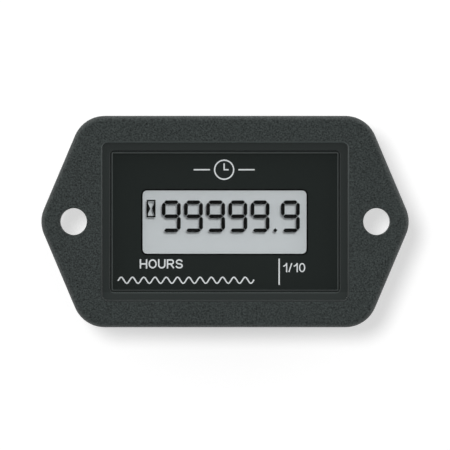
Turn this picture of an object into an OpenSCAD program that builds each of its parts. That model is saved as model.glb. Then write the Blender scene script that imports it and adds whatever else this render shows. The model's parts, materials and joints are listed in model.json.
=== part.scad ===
// Hour meter for panel mounting, with a two-hole flange, a liquid crystal display
// and a rolling-ball vibration switch. The face looks along +Z, the back of the
// flange is at Z = 0 and the origin is midway between the two screw holes.

/* [Flange] */
// Distance between the centres of the two screw holes
hole_spacing = 50.8; // [48:0.1:60]
// Diameter of a screw hole
hole_d = 4.5; // [3.2:0.1:5.5]
// Radius of the ear round a screw hole
ear_r = 5.4; // [4.5:0.1:7]
// Radius of the four outer corners
corner_r = 5.4; // [2:0.1:8]
// How far the centres of those corners lie inside the ends of the recess
corner_inset = 0.4; // [0:0.1:3]
// Plain land above and below the recess
flange_land = 4.55; // [3:0.05:8]
// Thickness of the flange
flange_t = 4; // [3.5:0.1:6]
// Round along the front edge of the flange
front_edge_r = 0.9; // [0.3:0.1:1.4]
// Bevel along the back edge of the flange
back_bevel = 0.3; // [0.1:0.1:0.8]

/* [Window recess] */
// Depth of the smooth ledge round the lens
ledge_depth = 0.4; // [0.2:0.05:0.8]
// Width of that ledge
ledge_w = 1.28; // [0.6:0.02:2.5]
// Corner radius of the recess
recess_corner_r = 0.9; // [0.4:0.1:3]

/* [Lens] */
// Thickness of the lens at its raised face
lens_t = 1.3; // [1:0.05:1.6]
// Height of the raised face over the lens's edge
lens_step_h = 0.2; // [0.2:0.05:0.7]
// Width of the step round the raised face
lens_step_w = 0.3; // [0.1:0.05:1]
// Bevel round the raised face
lens_bevel = 0.12; // [0.05:0.01:0.18]
// Corner radius of the lens
lens_corner_r = 0.6; // [0.4:0.05:2]
// Corner radius of the raised face
lens_face_r = 0.35; // [0.2:0.05:2]
// Room between the lens and its pocket, on each side
lens_gap = 0.1; // [0.05:0.01:0.3]
// How far the lens bears on its seat at the left and right
lens_seat_side = 2.45; // [1:0.05:4]
// How far the lens bears on its seat above and below
lens_seat_end = 1.4; // [0.8:0.05:3]
// Thickness of the black film under the lens
mask_t = 0.15; // [0.1:0.01:0.3]

/* [Box behind the flange] */
// Thickness of the side walls
box_wall = 1.5; // [1:0.1:2.5]
// Corner radius inside the box
box_inner_r = 0.5; // [0.2:0.1:0.9]
// Thickness of the rear cover
cover_t = 1.2; // [0.8:0.1:2.5]
// Round along the back edge of the rear cover
cover_edge_r = 0.6; // [0.2:0.1:0.7]
// Height of the rim that plugs the rear cover into the box
plug_h = 0.8; // [0.4:0.1:1]
// Thickness of that rim
plug_wall = 1; // [0.6:0.1:1.4]
// Room between that rim and the box, on each side
plug_gap = 0.1; // [0.05:0.01:0.2]
// Diameter of the four posts under the circuit board
post_d = 2.2; // [1.5:0.1:2.8]
// How far the posts stand in from the walls
post_inset = 1.6; // [1.5:0.1:2.2]

/* [Figures on the display] */
// Whole-hour figures
whole_figures = 5; // [4:1:5]
// Distance from one figure to the next
figure_pitch = 3.73; // [3.5:0.01:3.9]
// Distance between the upright bars of a figure
bar_spacing = 2.54; // [2:0.01:2.8]
// Distance between the level bars of a figure
row_spacing = 2.36; // [1.8:0.01:2.6]
// Thickness of a bar
segment_w = 0.55; // [0.3:0.01:0.65]
// Room between the tips of two bars
segment_gap = 0.12; // [0.05:0.01:0.3]
// Depth of the dark bars between the glasses
segment_t = 0.06; // [0.02:0.01:0.08]
// Extra room for the point before the last figure
point_space = 1.36; // [1:0.02:1.6]
// Width of the point, corner to corner
point_w = 0.75; // [0.4:0.01:0.9]
// Width of the hourglass sign
icon_w = 1.5; // [1:0.05:1.7]
// Height of the hourglass sign
icon_h = 2.95; // [2:0.05:3.4]
// Line width of the hourglass sign
icon_line = 0.25; // [0.15:0.01:0.35]
// How far the hourglass sign stands above the figures
icon_rise = 0.13; // [0:0.01:0.4]
// Room between the hourglass sign and the first figure
icon_space = 1.1; // [0.5:0.05:1.4]

/* [Window] */
// Bare ground left of the hourglass sign
window_left = 0.45; // [0.3:0.05:1]
// Bare ground right of the last figure
window_right = 1.25; // [0.3:0.05:1.6]
// Bare ground above the figures
window_top = 1.75; // [0.5:0.05:2.4]
// Bare ground below the figures
window_bottom = 3.58; // [0.5:0.02:4]
// Corner radius of the window
window_corner_r = 0.75; // [0.3:0.05:2]

/* [Display glass] */
// Thickness of each glass
glass_t = 0.7; // [0.5:0.05:1.1]
// Gap between the two glasses
glass_spacing = 0.1; // [0.1:0.01:0.2]
// How far the glass reaches past the window
glass_border = 1.1; // [1:0.05:2]
// Width of the seal between the glasses
seal_w = 0.8; // [0.4:0.05:1]
// Thickness of the front polariser
polariser_t = 0.2; // [0.1:0.01:0.35]
// Thickness of the reflector behind the display
reflector_t = 0.25; // [0.1:0.01:0.4]
// How far the polariser and the reflector stay inside the glass
film_inset = 0.6; // [0.2:0.05:1]

/* [Display holder] */
// Wall of the holder at the left and right of the glass
holder_side = 1.6; // [0.8:0.05:2]
// Wall of the holder above and below the glass
holder_end = 0.8; // [0.6:0.05:1.5]
// Thickness of the thin webs in the holder
holder_web = 0.4; // [0.3:0.05:0.6]
// Thickness of the floor behind the reflector
holder_floor = 0.8; // [0.5:0.05:1.5]
// Solid length at each end of the holder
holder_block = 3; // [2.4:0.1:5]
// Room between the glass and the holder, on each side
glass_gap = 0.15; // [0.05:0.01:0.3]
// Room between the holder and the box, on each side
slide_gap = 0.2; // [0.1:0.02:0.4]
// Diameter of the pegs that place the circuit board
peg_d = 1; // [0.6:0.05:1.4]
// Room between a peg and its hole, on each side
peg_gap = 0.08; // [0.03:0.01:0.2]

/* [Contact strips] */
// Height of the rubber contact strips
strip_h = 4.2; // [3.2:0.1:6]
// Thickness of the rubber contact strips
strip_w = 0.9; // [0.7:0.05:1.8]
// How far the strips stop short of the ends of the glass
strip_inset = 1; // [0.3:0.05:3]
// Room between a strip and its slot, on each side
strip_gap = 0.05; // [0.02:0.01:0.15]
// How far the front glass reaches past the strips
strip_cover = 0.3; // [0.2:0.05:1]

/* [Circuit board] */
// Thickness of the circuit board
board_t = 1; // [0.6:0.1:1.6]
// Room between neighbouring parts on the board
part_gap = 0.6; // [0.3:0.05:1]
// Width of the controller's body
chip_w = 5.3; // [4:0.1:6]
// Length of the controller's body
chip_l = 10.2; // [9.4:0.1:11]
// Thickness of the controller's body
chip_t = 1.75; // [1:0.05:2.4]
// Gap under the controller's body
chip_lift = 0.1; // [0.05:0.01:0.3]
// Leads on each side of the controller
lead_count = 14; // [4:1:14]
// Distance from one lead to the next
lead_pitch = 0.65; // [0.45:0.05:0.65]
// Width of a lead
lead_w = 0.3; // [0.15:0.01:0.35]
// Thickness of a lead
lead_t = 0.15; // [0.1:0.01:0.2]
// How far a lead reaches out from the body
lead_reach = 1.15; // [0.8:0.05:1.5]
// Length of a lead's foot
lead_foot = 0.65; // [0.3:0.05:0.65]
// Diameter of the crystal's can
crystal_d = 2; // [1.5:0.1:2.4]
// Length of the crystal's can
crystal_l = 6; // [4:0.1:6.5]
// Diameter of the crystal's wires
wire_d = 0.25; // [0.15:0.01:0.4]
// Distance between the crystal's wires
wire_spacing = 0.7; // [0.5:0.05:0.9]
// How far those wires reach out before they turn to the board
wire_reach = 1.2; // [0.6:0.1:1.4]
// Length, width and height of a capacitor
capacitor = [0.8, 1.6, 0.8]; // [0.4:0.05:2.1]
// Length, width and height of a resistor
resistor = [0.5, 1, 0.35]; // [0.3:0.05:1.7]
// Number of capacitors, and of resistors
passive_count = 3; // [1:1:3]
// Distance from one capacitor or resistor to the next
passive_pitch = 2.4; // [1.6:0.1:2.6]

/* [Coin cell] */
// Diameter of the cell
cell_d = 20; // [16:0.1:24]
// Thickness of the cell
cell_t = 3.2; // [2:0.1:5]
// Width of the crimped edge round the cell's front cap
cell_crimp_w = 1.1; // [0.6:0.1:2]
// Height of the front cap over that edge
cell_crimp_h = 0.3; // [0.1:0.05:0.6]
// Round on the cell's back edge
cell_edge_r = 0.4; // [0.2:0.05:0.8]
// Room between the cell and the walls of the box
cell_gap = 0.4; // [0.2:0.05:1]
// Room between the cell and the circuit board
cell_lift = 0.4; // [0.35:0.05:1]
// Thickness of the cell's tabs
tab_t = 0.15; // [0.1:0.01:0.17]
// Width of the cell's tabs
tab_w = 3; // [2:0.1:3.2]
// How far the tabs lie above and below the middle of the cell
tab_offset = 6.5; // [6.4:0.1:6.8]
// Length of a tab's foot on the circuit board
tab_foot = 1.4; // [0.8:0.1:1.5]
// Room between a tab and the side of the cell
tab_gap = 0.3; // [0.1:0.05:0.5]
// Thickness of the foam pad under the cell
pad_t = 1; // [0.9:0.1:2]
// Diameter of the foam pad under the cell
pad_d = 14; // [8:0.1:15]

/* [Vibration switch] */
// Diameter of the ball
ball_d = 1.9; // [1.2:0.05:2.2]
// Room round the ball in its sleeve
ball_gap = 0.1; // [0.05:0.01:0.2]
// Wall of the sleeve
sleeve_wall = 0.3; // [0.2:0.02:0.5]
// Length of the sleeve
sleeve_l = 5; // [4:0.1:8]
// Room between the sleeve and its end caps
sleeve_gap = 0.02; // [0.01:0.005:0.04]
// Least wall of an end cap round the sleeve
cap_wall = 0.33; // [0.2:0.01:0.5]
// End wall of an end cap
cap_end = 0.5; // [0.3:0.05:1]
// How far an end cap reaches over the sleeve
cap_reach = 1.4; // [0.6:0.05:1.8]

/* [Hidden] */
$fn = 48;

// How far a cut runs past the face that it opens
overcut = 1;
// Steps of a quarter round on the moulded edges
edge_step = 15;

// Figures and window
figure_size = [bar_spacing + segment_w, 2 * row_spacing + segment_w];
figures_w = figure_size.x + whole_figures * figure_pitch + point_space;
window = [window_left + icon_w + icon_space + figures_w + window_right,
          window_top + figure_size.y + window_bottom];
icon_x = -window.x / 2 + window_left + icon_w / 2;
first_figure_x = icon_x + icon_w / 2 + icon_space + figure_size.x / 2;
figures_y = window.y / 2 - window_top - figure_size.y / 2;
icon_y = figures_y + figure_size.y / 2 + icon_rise - icon_h / 2;

// Display glass, the front one wider so that the contact strips reach it
rear_glass = [window.x + 2 * glass_border, window.y + 2 * glass_border];
contact_ledge = glass_gap + holder_web + strip_w + 2 * strip_gap + strip_cover;
front_glass = rear_glass + [0, 2 * contact_ledge];
film = rear_glass - 2 * [film_inset, film_inset];
strip_y = rear_glass.y / 2 + glass_gap + holder_web + strip_gap + strip_w / 2;
strip_l = front_glass.x - 2 * strip_inset;

// Vibration switch
sleeve_bore = ball_d + 2 * ball_gap;
sleeve_d = sleeve_bore + 2 * sleeve_wall;
cap_w = sleeve_d + 2 * sleeve_gap + 2 * cap_wall;

// The box holds the display in front and the cell beside the other parts behind
lead_span = chip_w + 2 * lead_reach;
parts_w = cell_gap + cell_d + part_gap + lead_span + part_gap + cap_w + part_gap;
parts_h = chip_l + 5 * part_gap + 2 * capacitor.y + 2 * resistor.y;
holder_least = front_glass + 2 * [glass_gap + holder_side, glass_gap + holder_end];
inside = [max(holder_least.x + 2 * slide_gap, parts_w),
          max(holder_least.y + 2 * slide_gap, cell_d + 2 * cell_gap, parts_h)];
holder = inside - 2 * [slide_gap, slide_gap];
box = inside + 2 * [box_wall, box_wall];
box_r = box_inner_r + box_wall;

// Lens, recess and flange grow from the inside of the box
lens_size = inside + 2 * [lens_seat_side, lens_seat_end];
lens_pocket = lens_size + 2 * [lens_gap, lens_gap];
lens_pocket_r = lens_corner_r + lens_gap;
lens_face = lens_size - 2 * [lens_step_w, lens_step_w];
recess = lens_pocket + 2 * [ledge_w, ledge_w];
flange_h = recess.y + 2 * flange_land;
corner_x = recess.x / 2 - corner_inset;
corner_y = flange_h / 2 - corner_r;

// Heights, from the face of the flange to the back
ledge_z = flange_t - ledge_depth;
lens_z = ledge_z - lens_t;
seat_z = lens_z - mask_t;
glass_front_z = seat_z - polariser_t;
front_glass_z = glass_front_z - glass_t;
rear_glass_top_z = front_glass_z - glass_spacing;
rear_glass_z = rear_glass_top_z - glass_t;
reflector_z = rear_glass_z - reflector_t;
board_top_z = front_glass_z - strip_h;
board_z = board_top_z - board_t;
cell_top_z = board_z - cell_lift;
cell_z = cell_top_z - cell_t;
cover_z = cell_z - tab_t - pad_t;

// Places on the back of the board
cell_x = -inside.x / 2 + cell_gap + cell_d / 2;
chip_x = cell_x + cell_d / 2 + part_gap + lead_span / 2;
sensor_x = chip_x + lead_span / 2 + part_gap + cap_w / 2;
sensor_z = board_z - cap_w / 2;
crystal_y = -chip_l / 2 - part_gap - crystal_d / 2;
capacitor_y = chip_l / 2 + part_gap + capacitor.y / 2;
resistor_y = capacitor_y + capacitor.y / 2 + part_gap / 2 + resistor.y / 2;
tab_x = cell_x + sqrt(pow(cell_d / 2, 2) - pow(tab_offset - tab_w / 2, 2)) + tab_gap;
peg_x = holder.x / 2 - holder_block / 2;

// Rectangle with round corners, about the origin
module rounded_rect(size, r) {
    square([size.x - 2 * r, size.y], center = true);
    square([size.x, size.y - 2 * r], center = true);
    at_corners(size / 2 - [r, r]) circle(r);
}

// Flat plate with round corners that stands on a height
module plate(size, r, z, t) {
    translate([0, 0, z]) linear_extrude(t) rounded_rect(size, r);
}

// Flat block about the Z axis that stands on a height
module slab(size, z, t) {
    translate([0, 0, z]) linear_extrude(t) square(size, center = true);
}

// Copies of a shape at the four corners of a rectangle
module at_corners(half) {
    for (sx = [-1, 1], sy = [-1, 1])
        translate([sx * half.x, sy * half.y]) children();
}

// Copies of a shape at the left and the right
module at_sides(x) {
    for (sx = [-1, 1])
        translate([sx * x, 0]) children();
}

// Bar with pointed ends, along X
module bar(length) {
    tip = length / 2;
    half_w = segment_w / 2;
    polygon([[-tip, 0], [half_w - tip, half_w], [tip - half_w, half_w],
             [tip, 0], [tip - half_w, -half_w], [half_w - tip, -half_w]]);
}

// The figure nine, every bar lit but the lower left one
module figure_nine() {
    for (row = [-1, 0, 1])
        translate([0, row * row_spacing]) bar(bar_spacing - segment_gap);
    for (place = [[-1, 1], [1, 1], [1, -1]])
        translate([place.x * bar_spacing / 2, place.y * row_spacing / 2])
            rotate(90) bar(row_spacing - segment_gap);
}

// Hourglass sign: a frame with a dark wedge in from each side
module hourglass() {
    frame = [icon_w, icon_h];
    difference() {
        square(frame, center = true);
        square(frame - 2 * [icon_line, icon_line], center = true);
    }
    neck = icon_line / 2;
    wedge_h = icon_h / 2 - 1.5 * icon_line;
    for (side = [-1, 1])
        polygon([[side * (icon_w - icon_line) / 2, wedge_h], [side * neck, 0],
                 [side * (icon_w - icon_line) / 2, -wedge_h]]);
}

// Puck with a round front edge, which the outline of the flange is stretched over
module flange_puck(r) {
    round_edge = [for (a = [0:edge_step:90])
                  [r - front_edge_r * (1 - cos(a)), flange_t - front_edge_r * (1 - sin(a))]];
    rotate_extrude() polygon(concat([[0, 0], [r - back_bevel, 0], [r, back_bevel]], round_edge,
                                    [[0, flange_t]]));
}

module flange_housing() {
    color("#373c3b") difference() {
        union() {
            hull() {
                at_sides(hole_spacing / 2) flange_puck(ear_r);
                at_corners([corner_x, corner_y]) flange_puck(corner_r);
            }
            plate(box, box_r, cover_z, seat_z - cover_z);
        }
        at_sides(hole_spacing / 2) translate([0, 0, -overcut])
            cylinder(d = hole_d, h = flange_t + 2 * overcut);
        plate(recess, recess_corner_r, ledge_z, ledge_depth + overcut);
        plate(lens_pocket, lens_pocket_r, seat_z, flange_t - seat_z + overcut);
        plate(inside, box_inner_r, cover_z - overcut, flange_t - cover_z + 2 * overcut);
    }
}

module lens() {
    color("#e8eeee", 0.35) {
        plate(lens_size, lens_corner_r, lens_z, lens_t - lens_step_h);
        hull() {
            plate(lens_face, lens_face_r, lens_z, lens_t - lens_bevel);
            plate(lens_face - 2 * [lens_bevel, lens_bevel], lens_face_r, lens_z, lens_t);
        }
    }
}

module face_mask() {
    color("#232625") difference() {
        plate(lens_size, lens_corner_r, seat_z, mask_t);
        plate(window, window_corner_r, seat_z - overcut, mask_t + 2 * overcut);
    }
}

module lcd_front_polariser() {
    color("#b7bbbe", 0.5) slab(film, glass_front_z, polariser_t);
}

module lcd_front_glass() {
    color("#cfe0dc", 0.5) slab(front_glass, front_glass_z, glass_t);
}

module lcd_segments() {
    color("#0f1110") translate([0, 0, front_glass_z - segment_t]) linear_extrude(segment_t) {
        for (i = [0:whole_figures]) {
            extra = i == whole_figures ? point_space : 0;
            translate([first_figure_x + i * figure_pitch + extra, figures_y]) figure_nine();
        }
        point_x = first_figure_x + (whole_figures - 0.5) * figure_pitch + point_space / 2;
        translate([point_x, figures_y - row_spacing]) circle(d = point_w, $fn = 4);
        translate([icon_x, icon_y]) hourglass();
    }
}

module lcd_seal() {
    color("#9aa3a0") difference() {
        slab(rear_glass, rear_glass_top_z, glass_spacing);
        slab(rear_glass - 2 * [seal_w, seal_w], rear_glass_top_z - overcut, glass_spacing + 2 * overcut);
    }
}

module lcd_rear_glass() {
    color("#cfe0dc", 0.5) slab(rear_glass, rear_glass_z, glass_t);
}

module lcd_reflector() {
    color("#b7bbbe") slab(film, reflector_z, reflector_t);
}

module display_holder() {
    front_pocket = front_glass + 2 * [glass_gap, glass_gap];
    rear_pocket = rear_glass + 2 * [glass_gap, glass_gap];
    strip_slot = [strip_l + 2 * strip_gap, strip_w + 2 * strip_gap];
    hollow = [holder.x - 2 * holder_block, rear_pocket.y];
    holder_h = glass_front_z - board_top_z;
    color("#d8d8d2") {
        difference() {
            plate(holder, box_inner_r, board_top_z, holder_h);
            slab(front_pocket, front_glass_z, glass_t + overcut);
            slab(rear_pocket, reflector_z, front_glass_z - reflector_z + overcut);
            for (side = [-1, 1])
                translate([0, side * strip_y])
                    slab(strip_slot, board_top_z - overcut, holder_h + 2 * overcut);
            slab(hollow, board_top_z - overcut, reflector_z - holder_floor - board_top_z + overcut);
        }
        at_sides(peg_x) translate([0, 0, board_z]) cylinder(d = peg_d, h = board_t + holder_floor);
    }
}

module contact_strip(side) {
    color("#2b2c2e") translate([0, side * strip_y]) slab([strip_l, strip_w], board_top_z, strip_h);
}

module upper_contact_strip() {
    contact_strip(1);
}

module lower_contact_strip() {
    contact_strip(-1);
}

module circuit_board() {
    color("#2f6b46") difference() {
        plate(holder, box_inner_r, board_z, board_t);
        at_sides(peg_x) translate([0, 0, board_z - overcut])
            cylinder(d = peg_d + 2 * peg_gap, h = board_t + 2 * overcut);
    }
}

module controller_chip() {
    color("#1c1d1f") translate([chip_x, 0]) slab([chip_w, chip_l], board_z - chip_lift - chip_t, chip_t);
}

// One bent lead, from the body of the chip out to its foot on the board
module chip_lead() {
    tip = lead_span / 2;
    heel = tip - lead_foot;
    mid = chip_lift + chip_t / 2;
    rotate([-90, 0, 0]) linear_extrude(lead_w, center = true)
        polygon([[tip, 0], [heel, 0], [heel, mid], [chip_w / 2, mid], [chip_w / 2, mid + lead_t],
                 [heel + lead_t, mid + lead_t], [heel + lead_t, lead_t], [tip, lead_t]]);
}

module controller_leads() {
    color("#b9bcc0") translate([chip_x, 0, board_z])
        for (i = [0:lead_count - 1], side = [0, 1])
            translate([0, (i - (lead_count - 1) / 2) * lead_pitch, 0])
                mirror([side, 0, 0]) chip_lead();
}

module crystal_can() {
    color("#c3c6c9") translate([chip_x - crystal_l / 2, crystal_y, board_z - crystal_d / 2])
        rotate([0, 90, 0]) cylinder(d = crystal_d, h = crystal_l);
}

module crystal_leads() {
    color("#b9bcc0") translate([chip_x + crystal_l / 2, crystal_y, board_z - crystal_d / 2])
        for (side = [-1, 1])
            translate([0, side * wire_spacing / 2, 0]) {
                rotate([0, 90, 0]) cylinder(d = wire_d, h = wire_reach);
                translate([wire_reach, 0, 0]) sphere(d = wire_d);
                translate([wire_reach, 0, 0]) cylinder(d = wire_d, h = crystal_d / 2);
            }
}

// Row of like parts on the back of the board
module passive_row(part, y) {
    for (i = [0:passive_count - 1])
        translate([chip_x + (i - (passive_count - 1) / 2) * passive_pitch, y])
            slab([part.x, part.y], board_z - part.z, part.z);
}

module chip_capacitors() {
    color("#a98a62") passive_row(capacitor, capacitor_y);
}

module chip_resistors() {
    color("#222326") passive_row(resistor, resistor_y);
}

module coin_cell() {
    r = cell_d / 2;
    cap_r = r - cell_crimp_w;
    crimp_z = cell_t - cell_crimp_h;
    round_edge = [for (a = [0:edge_step:90])
                  [r - cell_edge_r * (1 - sin(a)), cell_edge_r * (1 - cos(a))]];
    color("#c9ccce") translate([cell_x, 0, cell_z])
        rotate_extrude() polygon(concat([[0, 0]], round_edge,
                                        [[r, crimp_z], [cap_r, crimp_z], [cap_r, cell_t], [0, cell_t]]));
}

// Strip bent to a side view, which lies above or below the middle of the cell
module cell_tab(side, outline) {
    color("#b9bcc0") translate([0, side * tab_offset, 0])
        rotate([90, 0, 0]) linear_extrude(tab_w, center = true) polygon(outline);
}

module positive_tab() {
    foot = tab_x + tab_foot;
    cell_tab(1, [[cell_x, cell_z], [tab_x, cell_z], [tab_x, board_z], [foot, board_z],
                 [foot, board_z - tab_t], [tab_x + tab_t, board_z - tab_t],
                 [tab_x + tab_t, cell_z - tab_t], [cell_x, cell_z - tab_t]]);
}

module negative_tab() {
    foot = tab_x + tab_foot;
    cell_tab(-1, [[cell_x, cell_top_z], [tab_x + tab_t, cell_top_z], [tab_x + tab_t, board_z - tab_t],
                  [foot, board_z - tab_t], [foot, board_z], [tab_x, board_z],
                  [tab_x, cell_top_z + tab_t], [cell_x, cell_top_z + tab_t]]);
}

// Turns a shape that stands on Z so that it lies along Y on the switch's axis
module on_sensor_axis() {
    translate([sensor_x, 0, sensor_z]) rotate([-90, 0, 0]) children();
}

module sensor_sleeve() {
    color("#e6e2d6") on_sensor_axis() difference() {
        cylinder(d = sleeve_d, h = sleeve_l, center = true);
        cylinder(d = sleeve_bore, h = sleeve_l + 2 * overcut, center = true);
    }
}

module sensor_cap() {
    difference() {
        slab([cap_w, cap_w], sleeve_l / 2 - cap_reach, cap_reach + cap_end);
        translate([0, 0, sleeve_l / 2 - cap_reach - overcut])
            cylinder(d = sleeve_d + 2 * sleeve_gap, h = cap_reach + overcut);
    }
}

module sensor_cap_upper() {
    color("#d6b25a") on_sensor_axis() sensor_cap();
}

module sensor_cap_lower() {
    color("#d6b25a") on_sensor_axis() mirror([0, 0, 1]) sensor_cap();
}

module vibration_ball() {
    color("#d6b25a") on_sensor_axis() sphere(d = ball_d);
}

module cell_pad() {
    color("#3a3b3d") translate([cell_x, 0, cover_z]) cylinder(d = pad_d, h = pad_t);
}

module rear_cover() {
    plug = inside - 2 * [plug_gap, plug_gap];
    post = inside / 2 - [post_inset, post_inset];
    color("#2f3332") {
        hull() for (a = [0:edge_step:90]) {
            in = cover_edge_r * (1 - sin(a));
            plate(box - 2 * [in, in], box_r - in, cover_z - cover_t + cover_edge_r * (1 - cos(a)),
                  cover_t - cover_edge_r * (1 - cos(a)));
        }
        difference() {
            plate(plug, box_inner_r, cover_z - cover_t / 2, plug_h + cover_t / 2);
            slab(plug - 2 * [plug_wall, plug_wall], cover_z, plug_h + overcut);
        }
        at_corners(post) translate([0, 0, cover_z - cover_t / 2])
            cylinder(d = post_d, h = board_z - cover_z + cover_t / 2);
    }
}

flange_housing();
lens();
face_mask();
lcd_front_polariser();
lcd_front_glass();
lcd_segments();
lcd_seal();
lcd_rear_glass();
lcd_reflector();
display_holder();
upper_contact_strip();
lower_contact_strip();
circuit_board();
controller_chip();
controller_leads();
crystal_can();
crystal_leads();
chip_capacitors();
chip_resistors();
coin_cell();
positive_tab();
negative_tab();
sensor_sleeve();
sensor_cap_upper();
sensor_cap_lower();
vibration_ball();
cell_pad();
rear_cover();
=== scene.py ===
"""Dressed model of a panel hour meter, lying face up on a pale light table.

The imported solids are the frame. The pieces that show, from the flange to the
display glass, are rebuilt here with fine rounded edges, and the pieces inside
keep their solids and get a finish each. Sizes are in millimetres and turn into
metres where a mesh or a material is made. Angles are in degrees.
"""

from __future__ import annotations

import json
import logging
import math
from abc import ABC, abstractmethod
from collections import defaultdict
from dataclasses import dataclass
from enum import Enum
from typing import Any, Iterable, Sequence, Union

import bmesh
import bpy
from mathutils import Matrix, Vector
from mathutils.geometry import delaunay_2d_cdt

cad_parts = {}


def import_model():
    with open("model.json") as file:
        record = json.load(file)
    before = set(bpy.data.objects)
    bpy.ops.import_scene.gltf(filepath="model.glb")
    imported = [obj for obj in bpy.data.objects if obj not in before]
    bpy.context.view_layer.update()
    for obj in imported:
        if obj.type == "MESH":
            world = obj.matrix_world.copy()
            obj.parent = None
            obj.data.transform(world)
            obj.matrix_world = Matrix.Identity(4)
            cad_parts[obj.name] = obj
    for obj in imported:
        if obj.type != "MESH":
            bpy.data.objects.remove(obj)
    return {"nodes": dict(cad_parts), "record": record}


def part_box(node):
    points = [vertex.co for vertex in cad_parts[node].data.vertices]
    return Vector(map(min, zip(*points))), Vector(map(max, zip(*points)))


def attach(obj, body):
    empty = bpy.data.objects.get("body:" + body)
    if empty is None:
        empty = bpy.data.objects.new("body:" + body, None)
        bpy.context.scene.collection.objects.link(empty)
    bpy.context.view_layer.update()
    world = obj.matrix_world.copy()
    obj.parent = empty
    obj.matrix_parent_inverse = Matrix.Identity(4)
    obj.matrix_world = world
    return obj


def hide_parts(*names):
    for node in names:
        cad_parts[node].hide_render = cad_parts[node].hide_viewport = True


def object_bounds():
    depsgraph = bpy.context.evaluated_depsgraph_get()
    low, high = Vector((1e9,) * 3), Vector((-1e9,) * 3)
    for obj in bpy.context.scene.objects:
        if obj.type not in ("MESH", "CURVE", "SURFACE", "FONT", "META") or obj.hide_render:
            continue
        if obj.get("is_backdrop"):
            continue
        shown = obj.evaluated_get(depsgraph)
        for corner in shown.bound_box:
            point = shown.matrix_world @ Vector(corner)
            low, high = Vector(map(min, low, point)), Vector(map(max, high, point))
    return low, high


LOG = logging.getLogger("hour_meter")

MM = 0.001
BODY = "meter"

Point = tuple[float, float]
Triple = tuple[float, float, float]
Value = Union["Wire", float, Sequence[float]]


class Slot(Enum):
    """Names of the record's material slots."""

    HOUSING = "housing_plastic"
    LENS = "clear_lens"
    MASK = "mask_film"
    POLARISER = "polariser_film"
    GLASS = "display_glass"
    SEGMENT = "segment_dark"
    REFLECTOR = "reflector_grey"


def grey(level: float) -> Triple:
    """Gives a grey."""
    return level, level, level


def grown(size: Point, by: float) -> Point:
    """Adds a length to a width and to a height."""
    return size[0] + by, size[1] + by


# Shader maths


class Wire:
    """A shader socket that takes part in Python expressions on values."""

    def __init__(self, bench: Bench, socket: bpy.types.NodeSocket) -> None:
        """Keeps the socket and the bench that its nodes go on."""
        self.bench = bench
        self.socket = socket

    def __add__(self, other: Value) -> Wire:
        """Adds a value."""
        return self.bench.math("ADD", self, other)

    __radd__ = __add__

    def __sub__(self, other: Value) -> Wire:
        """Takes a value away."""
        return self.bench.math("SUBTRACT", self, other)

    def __rsub__(self, other: Value) -> Wire:
        """Takes this socket away from a value."""
        return self.bench.math("SUBTRACT", other, self)

    def __mul__(self, other: Value) -> Wire:
        """Multiplies by a value."""
        return self.bench.math("MULTIPLY", self, other)

    __rmul__ = __mul__

    def __truediv__(self, other: Value) -> Wire:
        """Divides by a value."""
        return self.bench.math("DIVIDE", self, other)

    def __rtruediv__(self, other: Value) -> Wire:
        """Divides a value by this socket."""
        return self.bench.math("DIVIDE", other, self)

    def __pow__(self, other: Value) -> Wire:
        """Raises to a power."""
        return self.bench.math("POWER", self, other)

    def __rpow__(self, other: Value) -> Wire:
        """Raises a value to the power of this socket."""
        return self.bench.math("POWER", other, self)

    def __gt__(self, other: Value) -> Wire:
        """Gives 1 where this socket is the greater."""
        return self.bench.math("GREATER_THAN", self, other)

    def __lt__(self, other: Value) -> Wire:
        """Gives 1 where this socket is the smaller."""
        return self.bench.math("LESS_THAN", self, other)

    def __abs__(self) -> Wire:
        """Drops the sign."""
        return self.bench.math("ABSOLUTE", self)

    def at_least(self, other: Value) -> Wire:
        """Gives the greater of two values."""
        return self.bench.math("MAXIMUM", self, other)

    def beside(self, out: str) -> Wire:
        """Gives another output of the same node."""
        return Wire(self.bench, self.socket.node.outputs[out])


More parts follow.
